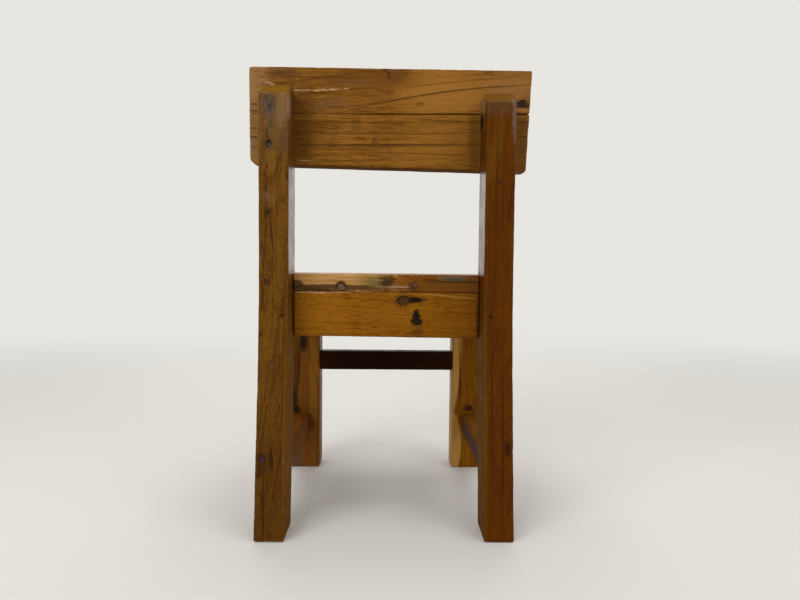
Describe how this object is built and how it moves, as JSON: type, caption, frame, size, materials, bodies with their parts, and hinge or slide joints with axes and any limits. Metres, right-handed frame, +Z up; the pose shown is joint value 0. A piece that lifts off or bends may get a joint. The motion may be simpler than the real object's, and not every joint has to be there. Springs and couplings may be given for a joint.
{
  "type": "child's wooden chair",
  "caption": "Small child's chair in varnished reclaimed softwood: bent rear posts, a plain back, tenoned seat rails and stretchers, and a nailed plank seat.",
  "frame": {"origin": "on the floor, under the middle of the chair's bounding box", "axes": "+Z up; the chair faces -Y; +X is the sitter's left"},
  "size_m": [0.3522, 0.3187, 0.563],
  "materials": {
    "left_post_wood": "olive brown softwood under gloss varnish, with knots, dents and worn arrises",
    "right_post_wood": "dark red brown softwood under gloss varnish, with worn arrises",
    "board_wood": "mid brown softwood, grain along the boards, gloss varnish, an open glue joint",
    "rail_wood": "orange brown softwood with short dark grain dashes and knots, gloss varnish",
    "front_leg_wood": "golden brown softwood with pale sapwood strips and knots, gloss varnish",
    "side_stretcher_wood": "red brown softwood, gloss varnish",
    "dark_wood": "nearly black red brown hardwood, gloss varnish",
    "seat_wood": "golden softwood planks with knots, dark and grey bark edges, gloss varnish",
    "nail_steel": "darkened by age, under varnish"
  },
  "bodies": {
    "root": {"rear_post_left": "left_post_wood", "rear_post_right": "right_post_wood", "front_leg_left": "front_leg_wood", "front_leg_right": "front_leg_wood", "back_board_upper": "board_wood", "back_board_lower": "board_wood", "rear_seat_rail": "rail_wood", "front_seat_rail": "rail_wood", "side_seat_rail_left": "rail_wood", "side_seat_rail_right": "rail_wood", "side_stretcher_left": "side_stretcher_wood", "side_stretcher_right": "side_stretcher_wood", "front_stretcher": "dark_wood", "seat_plank_rear": "seat_wood", "seat_plank_middle": "seat_wood", "seat_plank_front": "seat_wood", "rear_rail_nail_left": "nail_steel", "front_rail_nail_left": "nail_steel", "board_nail_left_lower": "nail_steel", "board_nail_left_middle": "nail_steel", "board_nail_left_upper": "nail_steel", "rear_plank_nail_side_left": "nail_steel", "rear_plank_nail_end_left": "nail_steel", "middle_plank_nail_rear_left": "nail_steel", "middle_plank_nail_front_left": "nail_steel", "front_plank_nail_side_left": "nail_steel", "front_plank_nail_end_left": "nail_steel", "rear_rail_nail_right": "nail_steel", "front_rail_nail_right": "nail_steel", "board_nail_right_lower": "nail_steel", "board_nail_right_middle": "nail_steel", "board_nail_right_upper": "nail_steel", "rear_plank_nail_side_right": "nail_steel", "rear_plank_nail_end_right": "nail_steel", "middle_plank_nail_rear_right": "nail_steel", "middle_plank_nail_front_right": "nail_steel", "front_plank_nail_side_right": "nail_steel", "front_plank_nail_end_right": "nail_steel"}
  },
  "joints": []
}
